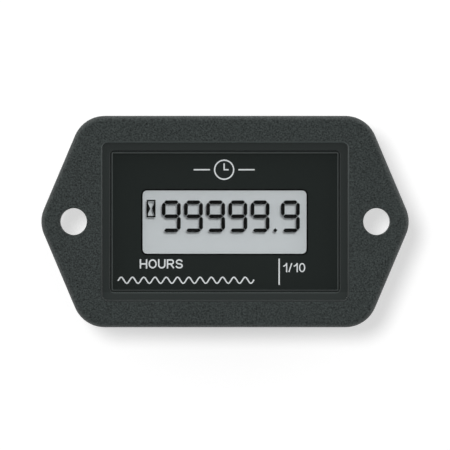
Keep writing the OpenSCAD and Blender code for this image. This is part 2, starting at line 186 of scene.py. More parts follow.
class Bench:
    """Adds nodes to one tree and links them."""

    def __init__(self, tree: bpy.types.NodeTree) -> None:
        """Clears the tree and keeps it."""
        tree.nodes.clear()
        self.tree = tree

    def add(
        self,
        kind: str,
        sockets: dict[Union[str, int], Value],
        out: Union[str, int] = 0,
        settings: dict[str, Any] | None = None,
    ) -> Wire:
        """Adds a node.

        Args:
            kind: Blender's name of the node type.
            sockets: Values or wires for its input sockets.
            out: Output socket that is handed back.
            settings: Settings of the node, such as a ramp's stops, set first.

        Returns:
            The chosen output of the node, or the first input of an end node.
        """
        node = self.tree.nodes.new(kind)
        for name, value in (settings or {}).items():
            if name == "stops":
                self._set_stops(node.color_ramp, value)
            else:
                setattr(node, name, value)
        for name, value in sockets.items():
            if isinstance(value, Wire):
                self.tree.links.new(value.socket, node.inputs[name])
            else:
                node.inputs[name].default_value = value
        return Wire(self, node.outputs[out] if len(node.outputs) > 0 else node.inputs[0])

    @staticmethod
    def _set_stops(ramp: bpy.types.ColorRamp, stops: Sequence[tuple[float, Triple]]) -> None:
        """Writes a ramp's stops.

        Args:
            ramp: Ramp of a node.
            stops: Place and colour of each stop.
        """
        while len(ramp.elements) < len(stops):
            ramp.elements.new(1.0)
        for element, (place, colour) in zip(ramp.elements, stops):
            element.position = place
            element.color = (*colour, 1.0)

    def math(self, operation: str, first: Value, second: Value = 0.0) -> Wire:
        """Adds a Math node on one or two values."""
        return self.add("ShaderNodeMath", {0: first, 1: second}, settings={"operation": operation})

    def vector(self, operation: str, first: Value, second: Value) -> Wire:
        """Adds a Vector Math node on two vectors."""
        settings = {"operation": operation}
        return self.add("ShaderNodeVectorMath", {0: first, 1: second}, settings=settings)

    def blend(self, factor: Value, first: Value, second: Value) -> Wire:
        """Mixes two colours.

        Args:
            factor: Share of the second colour.
            first: Colour or wire at 0.
            second: Colour or wire at 1.

        Returns:
            The mixed colour.
        """
        ends = [end if isinstance(end, Wire) else (*end, 1.0) for end in (first, second)]
        sockets = {0: factor, 6: ends[0], 7: ends[1]}
        return self.add("ShaderNodeMix", sockets, out=2, settings={"data_type": "RGBA"})

    def place(self) -> Wire:
        """Gives the place on the object, in metres."""
        return self.add("ShaderNodeTexCoord", {}, out="Object")

    def axes(self, vector: Wire) -> tuple[Wire, Wire, Wire]:
        """Splits a vector into its three parts."""
        x = self.add("ShaderNodeSeparateXYZ", {0: vector}, out="X")
        return x, x.beside("Y"), x.beside("Z")

    def spread(self, value: Wire) -> Wire:
        """Spreads one value over the three parts of a vector."""
        return self.add("ShaderNodeCombineXYZ", {"X": value, "Y": value, "Z": value})

    def outside(self, size: Point, radius: float, centre: Point = (0.0, 0.0)) -> Wire:
        """Gives 1 outside a rectangle with round corners.

        Args:
            size: Its width and its height, in millimetres.
            radius: Radius of its corners, in millimetres.
            centre: Its centre, in millimetres.

        Returns:
            1 outside the rectangle and 0 inside it.
        """
        x, y, _ = self.axes(self.place())
        past_x = (abs(x - centre[0] * MM) - (size[0] / 2 - radius) * MM).at_least(0.0)
        past_y = (abs(y - centre[1] * MM) - (size[1] / 2 - radius) * MM).at_least(0.0)
        return (past_x * past_x + past_y * past_y) ** 0.5 > radius * MM

    def noise(self, grain: float, detail: float = 2.0, stretch: Triple = grey(1.0)) -> Wire:
        """Adds a noise whose lumps have a known size.

        Args:
            grain: Size of a lump in millimetres.
            detail: Number of finer layers.
            stretch: Factor on each axis, below 1 for lumps drawn out along it.

        Returns:
            The noise, about NOISE_MEAN.
        """
        where = self.vector("MULTIPLY", self.place(), stretch)
        sockets = {"Vector": where, "Scale": 1.0 / (grain * MM), "Detail": detail}
        return self.add("ShaderNodeTexNoise", sockets, out="Fac")

    def bump(self, height: Wire, strength: float, depth: float) -> Wire:
        """Turns a height into a normal.

        Args:
            height: Height of the relief, as a share of its depth.
            strength: Share of the bump that is used.
            depth: Depth of the relief in millimetres.

        Returns:
            The bumped normal.
        """
        sockets = {"Height": height, "Strength": strength, "Distance": depth * MM}
        return self.add("ShaderNodeBump", sockets)

    def principled(self, sockets: dict[Union[str, int], Value]) -> Wire:
        """Adds the general shader for plastics, metals and ink."""
        return self.add("ShaderNodeBsdfPrincipled", sockets)

    def surface(self, shader: Wire) -> None:
        """Leads a shader to the material's output."""
        self.add("ShaderNodeOutputMaterial", {"Surface": shader})


# Kinds of finish

NOISE_MEAN = 0.5


class Finish(ABC):
    """A finish that can make its material."""

    name: str

    def material(self) -> bpy.types.Material:
        """Gives the material, made at its first use.

        Returns:
            The material, whose name differs from those that come with the frame.
        """
        title = f"{self.name}_finish"
        known = bpy.data.materials.get(title)
        if known is not None:
            return known
        made = bpy.data.materials.new(title)
        made.use_nodes = True
        bench = Bench(made.node_tree)
        bench.surface(self.shader(bench))
        return made

    @abstractmethod
    def shader(self, bench: Bench) -> Wire:
        """Builds the finish's nodes."""


@dataclass(frozen=True)
class GrainedPlastic(Finish):
    """Black moulding, grained outside and polished in the recess round the lens, with painted
    highlights and shade on the recess's lip, its lower ledge and the rim round the lens.
    """

    name: str
    base: Triple
    polished: Triple
    recess: Point
    recess_r: float
    lip: float
    pocket: Point
    pocket_r: float
    rim: float
    floor_z: float
    roughness: float = 0.5
    polished_roughness: float = 0.16
    rough_fleck: float = 0.12
    specular: float = 0.42
    grain: float = 0.27
    fleck: float = 2.6
    cloud_size: float = 9.0
    cloud_tone: float = 0.16
    relief_share: float = 0.6
    relief: float = 0.07
    # Painted highlight and shade on the recess's lip, at its bottom and at its top
    painted_lip_light_bottom: float = -0.35
    painted_lip_light_top: float = 0.6
    # Painted highlight on the rim round the lens and painted light on the lower ledge
    painted_rim_highlight: float = 0.7
    painted_ledge_light: float = 0.2

    def shader(self, bench: Bench) -> Wire:
        """Builds the grain outside the recess, the polish on its lip and floor, and the painted
        light on them.

        Args:
            bench: Bench of the material.

        Returns:
            The shader.
        """
        _, y, z = bench.axes(bench.place())
        below = z < self.floor_z * MM
        outer = bench.outside(self.recess, self.recess_r).at_least(below)
        off_lip = bench.outside(grown(self.recess, 2 * self.lip), self.recess_r + self.lip)
        off_rim = bench.outside(grown(self.pocket, 2 * self.rim), self.pocket_r + self.rim)
        grained = off_lip.at_least(below)
        # Painted light on the lower ledge, lighter as if lit from above, with a painted highlight
        # along the rim round the lens
        low_ledge = (1.0 - outer) * (y < -self.pocket[1] / 2 * MM)
        painted_ledge_and_rim_light = low_ledge * (self.painted_ledge_light + self.painted_rim_highlight * (1.0 - off_rim))
        # Painted highlight and shade on the lip: lighter towards the top, darker towards the
        # bottom
        height = 0.5 + y / (self.recess[1] * MM)
        painted_lip_light = (outer - grained) * (self.painted_lip_light_bottom + (self.painted_lip_light_top - self.painted_lip_light_bottom) * height)
        pits = bench.noise(self.grain, detail=1.0) - NOISE_MEAN
        cloud = bench.noise(self.cloud_size) - NOISE_MEAN
        mottle = grained * (self.fleck * pits + self.cloud_tone * cloud)
        tone = bench.spread(1.0 + mottle + painted_lip_light + painted_ledge_and_rim_light)
        tint = bench.blend(outer, self.polished, self.base)
        rougher = self.roughness - self.polished_roughness + self.rough_fleck * pits
        return bench.principled(
            {
                "Base Color": bench.vector("MULTIPLY", tint, tone),
                "Roughness": self.polished_roughness + grained * rougher,
                "Normal": bench.bump(grained * pits, self.relief_share, self.relief),
                "Specular IOR Level": self.specular,
            }
        )


@dataclass(frozen=True)
class PrintedFilm(Finish):
    """Black printed film with a darker line round its window."""

    name: str
    ground: Triple
    line: Triple
    window: Point
    window_r: float
    window_centre: Point
    line_w: float = 0.26
    grain: float = 0.25
    mottle: float = 0.3
    roughness: float = 0.5
    rough_fleck: float = 0.1
    specular: float = 0.04

    def shader(self, bench: Bench) -> Wire:
        """Builds the printed ground and the line.

        Args:
            bench: Bench of the material.

        Returns:
            The shader.
        """
        line_size = grown(self.window, 2 * self.line_w)
        off_line = bench.outside(line_size, self.window_r + self.line_w, self.window_centre)
        lumps = bench.noise(self.grain)
        ground = bench.blend(self.mottle * lumps, self.ground, self.line)
        return bench.principled(
            {
                "Base Color": bench.blend(off_line, self.line, ground),
                "Roughness": self.roughness + self.rough_fleck * (lumps - NOISE_MEAN),
                "Specular IOR Level": self.specular,
            }
        )


@dataclass(frozen=True)
class ClearSheet(Finish):
    """Clear plate or film that mirrors a little and may have a ground edge and a step, the edge
    lighter in part as a painted highlight and the step darker as painted shade.
    """

    name: str
    tint: Triple
    gloss: float
    ior: float = 1.45
    roughness: float = 0.04
    smear_size: float = 6.0
    smear: float = 0.4
    clear_size: Point | None = None
    step_size: Point = (0.0, 0.0)
    corner_r: float = 0.2
    # Ground edge, lighter than the moulding, in part a painted highlight along the lens's edge
    edge: Triple = (0.056, 0.065, 0.063)
    # Painted shade: the step is darker, standing in for the shaded gap between the lens and its
    # pocket
    step: Triple = (0.018, 0.0215, 0.021)
    edge_roughness: float = 0.3
    edge_fleck: float = 0.1

    def shader(self, bench: Bench) -> Wire:
        """Builds a see-through shader with a gloss on its outer side, and its edge, which carries
        a painted highlight and painted shade.

        Args:
            bench: Bench of the material.

        Returns:
            The shader.
        """
        mirror = bench.add("ShaderNodeFresnel", {"IOR": self.ior})
        inner_side = bench.add("ShaderNodeNewGeometry", {}, out="Backfacing")
        smear = bench.noise(self.smear_size) - NOISE_MEAN
        gloss = bench.principled(
            {
                "Base Color": (*grey(1.0), 1.0),
                "Metallic": 1.0,
                "Roughness": self.roughness * (1.0 + self.smear * smear),
            }
        )
        clear = bench.add("ShaderNodeBsdfTransparent", {"Color": (*self.tint, 1.0)})
        share = mirror * (1.0 - inner_side) * self.gloss
        plate = bench.add("ShaderNodeMixShader", {0: share, 1: clear, 2: gloss})
        if self.clear_size is None:
            return plate
        # 1 on the step, which gets the painted shade of the gap
        on_painted_gap_shade = bench.outside(self.step_size, self.corner_r)
        ground = bench.principled(
            {
                "Base Color": bench.blend(on_painted_gap_shade, self.edge, self.step),
                "Roughness": self.edge_roughness + self.edge_fleck * smear,
            }
        )
        on_edge = bench.outside(self.clear_size, self.corner_r)
        return bench.add("ShaderNodeMixShader", {0: on_edge, 1: plate, 2: ground})


@dataclass(frozen=True)
class Moulded(Finish):
    """Even material with a fine mottle, for plastics, rubber, resin and ink."""

    name: str
    base: Triple
    fleck: Triple
    grain: float = 0.4
    mottle: float = 0.5
    roughness: float = 0.5
    rough_fleck: float = 0.15
    relief: float = 0.01
    relief_share: float = 0.4
    specular: float = 0.5
    stretch: Triple = grey(1.0)

    def shader(self, bench: Bench) -> Wire:
        """Builds the mottle, its roughness and its relief.

        Args:
            bench: Bench of the material.

        Returns:
            The shader.
        """
        lumps = bench.noise(self.grain, stretch=self.stretch)
        return bench.principled(
            {
                "Base Color": bench.blend(self.mottle * lumps, self.base, self.fleck),
                "Roughness": self.roughness + self.rough_fleck * (lumps - NOISE_MEAN),
                "Normal": bench.bump(lumps, self.relief_share, self.relief),
                "Specular IOR Level": self.specular,
            }
        )


@dataclass(frozen=True)
class Plated(Finish):
    """Plated metal with drawn-out marks and a few dull spots."""

    name: str
    base: Triple
    dull: Triple
    roughness: float = 0.28
    mark_size: float = 0.3
    mark_stretch: Triple = (0.1, 1.0, 1.0)
    mark_rough: float = 0.2
    spot_size: float = 2.5
    spot_share: float = 0.6
    spot_rough: float = 0.1
    relief: float = 0.006
    relief_share: float = 0.3

    def shader(self, bench: Bench) -> Wire:
        """Builds the metal, its marks and its spots.

        Args:
            bench: Bench of the material.

        Returns:
            The shader.
        """
        marks = bench.noise(self.mark_size, stretch=self.mark_stretch)
        spots = bench.noise(self.spot_size)
        marked = self.mark_rough * (marks - NOISE_MEAN)
        spotted = self.spot_rough * (spots - NOISE_MEAN)
        return bench.principled(
            {
                "Base Color": bench.blend(self.spot_share * spots, self.base, self.dull),
                "Metallic": 1.0,
                "Roughness": self.roughness + marked + spotted,
                "Normal": bench.bump(marks, self.relief_share, self.relief),
            }
        )


@dataclass(frozen=True)
class SolderMask(Finish):
    """Green board with copper tracks that show through the mask."""

    name: str
    mask: Triple
    track: Triple
    pitch: float = 1.3
    track_share: float = 0.34
    run: float = 5.98
    break_share: float = 0.12
    drift_size: float = 7.0
    roughness: float = 0.32
    rough_fleck: float = 0.1
    relief: float = 0.03
    relief_share: float = 0.5
    coat: float = 0.4

    def shader(self, bench: Bench) -> Wire:
        """Builds rows of tracks under a glossy mask.

        Args:
            bench: Bench of the material.

        Returns:
            The shader.
        """
        x, y, _ = bench.axes(bench.place())
        drift = bench.noise(self.drift_size, detail=0.0)
        row = bench.math("FRACT", (y + drift * self.pitch * MM) / (self.pitch * MM))
        unbroken = bench.math("FRACT", x / (self.run * MM)) > self.break_share
        track = (row < self.track_share) * unbroken
        return bench.principled(
            {
                "Base Color": bench.blend(track, self.mask, self.track),
                "Roughness": self.roughness + self.rough_fleck * (drift - NOISE_MEAN),
                "Normal": bench.bump(track, self.relief_share, self.relief),
                "Coat Weight": self.coat,
            }
        )


@dataclass(frozen=True)
class TableTop(Finish):
    """Pale table top that glows where it is seen and keeps the object's shadow."""

    name: str
    glow: float
    shade: float

    def shader(self, bench: Bench) -> Wire:
        """Builds the glow, which lights nothing else, and the ground under it.

        Args:
            bench: Bench of the material.

        Returns:
            The shader.
        """
        seen = bench.add("ShaderNodeLightPath", {}, out="Is Camera Ray")
        mirrored = seen.at_least(seen.beside("Is Glossy Ray"))
        shown = mirrored.at_least(seen.beside("Is Transmission Ray"))
        colour = bench.blend(shown, grey(0.0), grey(self.glow))
        glow = bench.add("ShaderNodeEmission", {"Color": colour})
        ground = bench.add("ShaderNodeBsdfDiffuse", {"Color": (*grey(self.shade), 1.0)})
        return bench.add("ShaderNodeAddShader", {0: glow, 1: ground})


# Finishes of the print, the display and the pieces inside

LEGEND_INK = Moulded(
    "legend_ink",
    base=(0.66, 0.69, 0.7),
    fleck=(0.72, 0.74, 0.75),
    grain=0.2,
    roughness=0.6,
    relief=0.002,
    specular=0.2,
)
SEGMENT_INK = Moulded(
    "segment_dark",
    base=(0.003, 0.0035, 0.0035),
    fleck=(0.006, 0.006, 0.006),
    grain=0.3,
    roughness=0.6,
    relief=0.001,
    specular=0.1,
)
REFLECTOR_FILM = Moulded(
    "reflector_film",
    base=(0.595, 0.618, 0.636),
    fleck=(0.635, 0.655, 0.672),
    grain=0.18,
    mottle=0.4,
    roughness=0.65,
    relief=0.002,
    specular=0.1,
)
DISPLAY_GLASS = ClearSheet("display_glass", tint=(0.996, 0.998, 0.997), gloss=0.1)
POLARISER_FILM = ClearSheet(
    "polariser_film", tint=(0.996, 0.997, 0.998), gloss=0.1, roughness=0.3
)
SEAL_RESIN = Moulded(
    "seal_resin",
    base=(0.34, 0.37, 0.36),
    fleck=(0.42, 0.44, 0.42),
    grain=0.5,
    mottle=0.6,
    roughness=0.45,
)
HOLDER_PLASTIC = Moulded(
    "holder_plastic", base=(0.68, 0.68, 0.63), fleck=(0.6, 0.6, 0.55), grain=1.2
)
CONTACT_RUBBER = Moulded(
    "contact_rubber",
    base=(0.03, 0.03, 0.032),
    fleck=(0.16, 0.16, 0.17),
    grain=0.12,
    mottle=0.7,
    roughness=0.6,
    stretch=(1.0, 0.05, 0.05),
)
CHIP_RESIN = Moulded(
    "chip_resin",
    base=(0.015, 0.015, 0.017),
    fleck=(0.04, 0.04, 0.042),
    grain=0.15,
    mottle=0.6,
    roughness=0.6,
)
CAPACITOR_CERAMIC = Moulded(
    "capacitor_ceramic",
    base=(0.4, 0.26, 0.13),
    fleck=(0.32, 0.2, 0.1),
    grain=0.3,
    mottle=0.6,
    roughness=0.4,
)
SLEEVE_PLASTIC = Moulded(
    "sleeve_plastic",
    base=(0.78, 0.75, 0.66),
    fleck=(0.7, 0.66, 0.56),
    grain=0.6,
    roughness=0.4,
)
PAD_FOAM = Moulded(
    "pad_foam",
    base=(0.05, 0.052, 0.055),
    fleck=(0.02, 0.02, 0.022),
    grain=0.25,
    mottle=1.0,
    roughness=0.9,
    relief=0.08,
)
TIN = Plated("tinned_metal", base=(0.72, 0.72, 0.7), dull=(0.5, 0.5, 0.49))
NICKEL = Plated(
    "nickel_can", base=(0.76, 0.75, 0.72), dull=(0.6, 0.59, 0.57), roughness=0.24
)
GOLD = Plated("gold_plate", base=(0.83, 0.61, 0.24), dull=(0.7, 0.46, 0.16), roughness=0.26)
BOARD_MASK = SolderMask("board_mask", mask=(0.016, 0.11, 0.04), track=(0.05, 0.2, 0.07))


def dress(nodes: dict[str, bpy.types.Object], finish: Finish, *names: str) -> None:
    """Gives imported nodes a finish.

    Args:
        nodes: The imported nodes.
        finish: Finish for them.
        names: Names of the nodes.
    """
    for name in names:
        slots = nodes[name].data.materials
        slots.clear()
        slots.append(finish.material())
        LOG.info("%s: dressed with %s", name, finish.name)


# Outlines and lofts

CORNER_STEPS = 10
CIRCLE_STEPS = 64
OVAL_STEPS = 24
SHARPEST_R = 0.02


def arc(centre: Point, radius: float, start: float, end: float, steps: int) -> list[Point]:
    """Gives points on an arc.

    Args:
        centre: Centre of the arc.
        radius: Radius of the arc.
        start: Angle of the first point.
        end: Angle of the last point.
        steps: Number of steps between them.

    Returns:
        The points from the first to the last.
    """
    angles = [math.radians(start + (end - start) * i / steps) for i in range(steps + 1)]
    return [
        (centre[0] + radius * math.cos(a), centre[1] + radius * math.sin(a)) for a in angles
    ]


def oval(centre: Point, radii: Point, start: float, end: float) -> list[Point]:
    """Gives points on part of an oval.

    Args:
        centre: Centre of the oval.
        radii: Half of its width and of its height.
        start: Angle of the first point.
        end: Angle of the last point.

    Returns:
        The points from the first to the last.
    """
    unit = arc((0.0, 0.0), 1.0, start, end, OVAL_STEPS)
    return [(centre[0] + radii[0] * x, centre[1] + radii[1] * y) for x, y in unit]


def upright(low: float, high: float) -> list[Point]:
    """Gives the profile of a plain upright wall."""
    return [(0.0, low), (0.0, high)]


class Outline(ABC):
    """Closed outline seen from the front, which can be grown or shrunk."""

    @abstractmethod
    def points(self, grow: float = 0.0) -> list[Point]:
        """Gives the points, moved outwards by a distance."""


@dataclass(frozen=True)
class RoundedPolygon(Outline):
    """Outline stretched over equal circles at the corners of a convex polygon."""

    centres: tuple[Point, ...]
    radius: float

    def points(self, grow: float = 0.0) -> list[Point]:
        """Gives an arc round each corner.

        Args:
            grow: Distance that the outline is moved outwards.

        Returns:
            The points, anticlockwise.
        """
        count = len(self.centres)
        radius = max(self.radius + grow, SHARPEST_R)
        found: list[Point] = []
        for i, centre in enumerate(self.centres):
            before = self._side_angle(self.centres[i - 1], centre)
            after = self._side_angle(centre, self.centres[(i + 1) % count])
            turn = (after - before) % 360.0
            found += arc(centre, radius, before, before + turn, CORNER_STEPS)
        return found

    @staticmethod
    def _side_angle(start: Point, end: Point) -> float:
        """Gives the direction that a side faces."""
        return math.degrees(math.atan2(end[1] - start[1], end[0] - start[0])) - 90.0


def rounded_rect(size: Point, radius: float, centre: Point = (0.0, 0.0)) -> RoundedPolygon:
    """Gives a rectangle with round corners.

    Args:
        size: Its width and its height.
        radius: Radius of its corners.
        centre: Its centre.

    Returns:
        The outline.
    """
    x, y = size[0] / 2 - radius, size[1] / 2 - radius
    corners = ((x, -y), (x, y), (-x, y), (-x, -y))
    return RoundedPolygon(tuple((centre[0] + a, centre[1] + b) for a, b in corners), radius)


@dataclass(frozen=True)
class Circle(Outline):
    """Round outline."""

    centre: Point
    radius: float

    def points(self, grow: float = 0.0) -> list[Point]:
        """Gives points round the circle, moved outwards by a distance."""
        return arc(self.centre, self.radius + grow, 0.0, 360.0, CIRCLE_STEPS)[:-1]


Ring = list[bmesh.types.BMVert]


class Loft:
    """Mesh made of rings that are skinned and filled."""

    def __init__(self) -> None:
        """Starts an empty mesh."""
        self.mesh = bmesh.new()

    def ring(self, points: Iterable[Point], z: float) -> Ring:
        """Adds a closed ring of points at a height."""
        return [self.mesh.verts.new(Vector((x, y, z)) * MM) for x, y in points]

    def span(self, first: Ring, second: Ring) -> None:
        """Joins two rings of like count with four-sided faces."""
        for i, vert in enumerate(first):
            self.mesh.faces.new((first[i - 1], vert, second[i], second[i - 1]))

    def skin(self, outline: Outline, profile: Sequence[Point]) -> tuple[Ring, Ring]:
        """Runs a profile round an outline.

        Args:
            outline: Outline that the profile follows.
            profile: Distance outwards from the outline and height, point by point.

        Returns:
            The first and the last ring.
        """
        rings = [self.ring(outline.points(grow), z) for grow, z in profile]
        for first, second in zip(rings, rings[1:]):
            self.span(first, second)
        return rings[0], rings[-1]

    def fill(self, *rings: Ring) -> None:
        """Fills the flat area between an outer ring and the rings inside it.

        Args:
            rings: The outer ring and the rings inside it.
        """
        sides = [(ring[i - 1], vert) for ring in rings for i, vert in enumerate(ring)]
        edges = [self.mesh.edges.get(side) or self.mesh.edges.new(side) for side in sides]
        bmesh.ops.triangle_fill(self.mesh, use_beauty=True, edges=edges)

    def closed(self, outline: Outline, profile: Sequence[Point]) -> None:
        """Skins an outline and closes both ends.

        Args:
            outline: Outline that the profile follows.
            profile: Distance outwards from the outline and height, point by point.
        """
        for ring in self.skin(outline, profile):
            self.fill(ring)


SHARP_ANGLE = math.radians(38.0)


def shade(data: bpy.types.Mesh) -> None:
    """Shades a mesh smooth with normals that follow the larger faces.

    Args:
        data: Mesh whose flats stay flat beside their rounded edges.
    """
    data.shade_smooth()
    data.set_sharp_from_angle(angle=SHARP_ANGLE)
    around: dict[int, list[tuple[Vector, float]]] = defaultdict(list)
    for face in data.polygons:
        for vertex in face.vertices:
            around[vertex].append((face.normal.copy(), face.area))
    limit = math.cos(SHARP_ANGLE)
    normals = []
    for face in data.polygons:
        for vertex in face.vertices:
            mean = Vector()
            for normal, area in around[vertex]:
                if normal.dot(face.normal) > limit:
                    mean += normal * area
            normals.append(mean.normalized())
    data.normals_split_custom_set(normals)


def put(name: str, data: bpy.types.ID) -> bpy.types.Object:
    """Puts an object into the scene.

    Args:
        name: Its name.
        data: Its mesh, lamp or camera.

    Returns:
        The object.
    """
    made = bpy.data.objects.new(name, data)
    bpy.context.collection.objects.link(made)
    return made


def put_mesh(name: str, mesh: bmesh.types.BMesh, finish: Finish) -> bpy.types.Object:
    """Puts a mesh with a finish into the scene.

    Args:
        name: Name of the object.
        mesh: Its mesh, which is used up.
        finish: Its finish.

    Returns:
        The object.
    """
    data = bpy.data.meshes.new(name)
    mesh.to_mesh(data)
    mesh.free()
    data.materials.append(finish.material())
    return put(name, data)


def add_piece(
    name: str, mesh: bmesh.types.BMesh, finish: Finish, nodes: Sequence[str] = ()
) -> bpy.types.Object:
    """Makes a piece that rides on the meter.

    Args:
        name: Name of the piece.
        mesh: Its mesh, which is used up.
        finish: Its finish.
        nodes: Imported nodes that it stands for.

    Returns:
        The piece.
    """
    bmesh.ops.recalc_face_normals(mesh, faces=mesh.faces)
    piece = put_mesh(name, mesh, finish)
    shade(piece.data)
    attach(piece, BODY)
    if nodes:
        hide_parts(*nodes)
    stands_for = ", ".join(nodes) or "the look only"
    LOG.info("%s: %d faces, for %s", name, len(piece.data.polygons), stands_for)
    return piece


def node_box(node: str) -> tuple[Vector, Vector]:
    """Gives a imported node's lowest and highest corner in millimetres."""
    low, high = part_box(node)
    return low / MM, high / MM


def full_size(high: Vector) -> Point:
    """Gives the width and the height of a centred piece from its highest corner."""
    return 2 * high.x, 2 * high.y


# The pieces that show


@dataclass
class FlangeHousing:
    """Flange, lens recess and box, moulded in one."""

    hole_spacing: float
    hole_d: float = 4.5
    corner_x: float = 20.18
    front_edge_r: float = 1.0
    back_edge_r: float = 0.3
    recess_r: float = 0.9
    ledge_depth: float = 0.4
    ledge_w: float = 1.34
    pocket_gap: float = 0.04
    pocket_r: float = 0.7
    box_wall: float = 1.5
    box_r: float = 2.0
    lip_r: float = 0.24
    fillet_r: float = 0.1
    rim_r: float = 0.2
    foot_r: float = 0.35
    parting_z: float = 1.5
    parting_h: float = 0.05
    edge_steps: int = 12
    lip_steps: int = 4

    def __post_init__(self) -> None:
        """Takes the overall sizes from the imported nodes."""
        low, high = node_box("flange_housing")
        lens_low, lens_high = node_box("lens")
        mask_low, _ = node_box("face_mask")
        self.top = high.z
        self.ledge = self.top - self.ledge_depth
        self.floor_z = lens_low.z
        self.seat = mask_low.z
        self.cover_z = low.z
        ear_x = self.hole_spacing / 2
        radius = high.x - ear_x
        x, y = self.corner_x, high.y - radius
        self.outline = RoundedPolygon(
            ((ear_x, 0.0), (x, y), (-x, y), (-ear_x, 0.0), (-x, -y), (x, -y)), radius
        )
        self.pocket_size = grown(full_size(lens_high), 2 * self.pocket_gap)
        self.recess_size = grown(self.pocket_size, 2 * self.ledge_w)

    def finish(self) -> GrainedPlastic:
        """Gives the finish of the moulding, polished inside the recess, with painted light on its
        lip, its lower ledge and the rim round the lens.

        Returns:
            The finish.
        """
        return GrainedPlastic(
            "housing_grain",
            base=(0.0353, 0.0428, 0.0416),
            polished=(0.027, 0.032, 0.031),
            recess=self.recess_size,
            recess_r=self.recess_r,
            lip=self.lip_r,
            pocket=self.pocket_size,
            pocket_r=self.pocket_r,
            rim=self.rim_r,
            floor_z=self.floor_z,
        )

    def build(self) -> None:
        """Skins the moulding from its back to the inside of its box."""
        loft = Loft()
        lip_r, fillet_r, rim_r, steps = self.lip_r, self.fillet_r, self.rim_r, self.lip_steps
        back, front = loft.skin(self.outline, self._edge_profile())
        holes = [self._hole(loft, side) for side in (-1, 1)]
        lip, floor = loft.skin(
            rounded_rect(self.recess_size, self.recess_r),
            arc((lip_r, self.top - lip_r), lip_r, 90, 180, steps)
            + arc((-fillet_r, self.ledge + fillet_r), fillet_r, 0, -90, steps),
        )
        rim, seat_ring = loft.skin(
            rounded_rect(self.pocket_size, self.pocket_r),
            arc((rim_r, self.ledge - rim_r), rim_r, 90, 180, steps) + [(0.0, self.seat)],
        )
        loft.span(floor, rim)
        loft.fill(front, lip, *(hole[0] for hole in holes))
        box_top = self._box(loft, seat_ring)
        loft.fill(back, box_top, *(hole[1] for hole in holes))
        add_piece("housing_moulding", loft.mesh, self.finish(), ["flange_housing"])

    def _edge_profile(self) -> list[Point]:
        """Gives the profile of the flange's outer edge, with its parting line.

        Returns:
            Distance outwards and height, from the back to the face.
        """
        back_r, front_r, ridge = self.back_edge_r, self.front_edge_r, self.parting_h
        parting = [
            (0.0, self.parting_z - ridge),
            (-ridge / 2, self.parting_z),
            (0.0, self.parting_z + ridge),
        ]
        return (
            arc((-back_r, back_r), back_r, -90, 0, self.lip_steps)
            + parting
            + arc((-front_r, self.top - front_r), front_r, 0, 90, self.edge_steps)
        )

    def _hole(self, loft: Loft, side: int) -> tuple[Ring, Ring]:
        """Skins a screw hole.

        Args:
            loft: Loft of the moulding.
            side: -1 for the left hole, 1 for the right one.

        Returns:
            Its rings in the face and in the back.
        """
        rim = self.rim_r
        return loft.skin(
            Circle((side * self.hole_spacing / 2, 0.0), self.hole_d / 2),
            arc((rim, self.top - rim), rim, 90, 180, self.lip_steps)
            + arc((rim, rim), rim, 180, 270, self.lip_steps),
        )

    def _box(self, loft: Loft, seat_ring: Ring) -> Ring:
        """Skins the inside and the outside of the box.

        Args:
            loft: Loft of the moulding.
            seat_ring: Ring at the outer edge of the lens's seat.

        Returns:
            The ring where the box meets the back of the flange.
        """
        _, cover_high = node_box("rear_cover")
        size = full_size(cover_high)
        wall, foot, rim = self.box_wall, self.foot_r, self.rim_r
        seat_inner, inner_foot = loft.skin(
            rounded_rect(grown(size, -2 * wall), self.box_r - wall),
            upright(self.seat, self.cover_z),
        )
        loft.span(seat_ring, seat_inner)
        outer_foot, box_top = loft.skin(
            rounded_rect(size, self.box_r),
            arc((-rim, self.cover_z + rim), rim, -90, 0, self.lip_steps)
            + arc((foot, -foot), foot, 180, 90, self.lip_steps),
        )
        loft.span(inner_foot, outer_foot)
        return box_top


